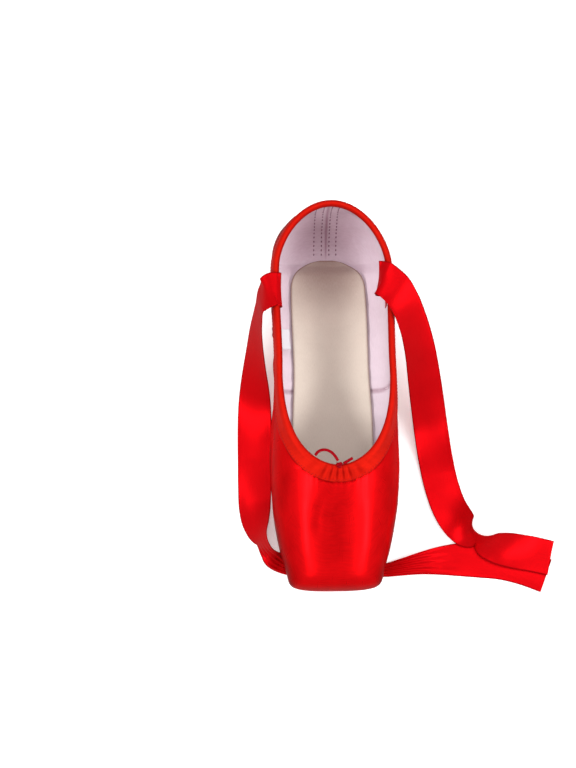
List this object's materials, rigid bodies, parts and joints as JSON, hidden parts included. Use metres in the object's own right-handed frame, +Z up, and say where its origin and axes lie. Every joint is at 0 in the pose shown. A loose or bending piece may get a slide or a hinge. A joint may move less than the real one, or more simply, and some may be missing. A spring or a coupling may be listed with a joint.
{
  "type": "pointe shoe",
  "caption": "Red satin pointe shoe with a stiff box, canvas lining, drawstring at the throat and two ankle ribbons, standing empty on its sole.",
  "frame": {"origin": "on the floor, under the middle of the shoe without its ribbons and drawstring", "axes": "+Z up, +Y towards the heel, -Y towards the toe, X across"},
  "size_m": [0.1981, 0.2411, 0.0759],
  "materials": {
    "satin": "glossy satin weave over canvas",
    "tape": "matt cotton tape",
    "insole": "matt cloth over board",
    "leather": "smooth natural leather, lightly buffed",
    "cord": "braided elastic cord",
    "ribbon": "satin ribbon with woven edges"
  },
  "bodies": {
    "root": {"upper": "satin", "binding": "tape", "insole": "insole", "outsole": "leather", "drawstring_loop": "cord", "drawstring_knot": "cord", "drawstring_end": "cord", "ribbon_left": "ribbon", "ribbon_right": "ribbon"}
  },
  "joints": []
}
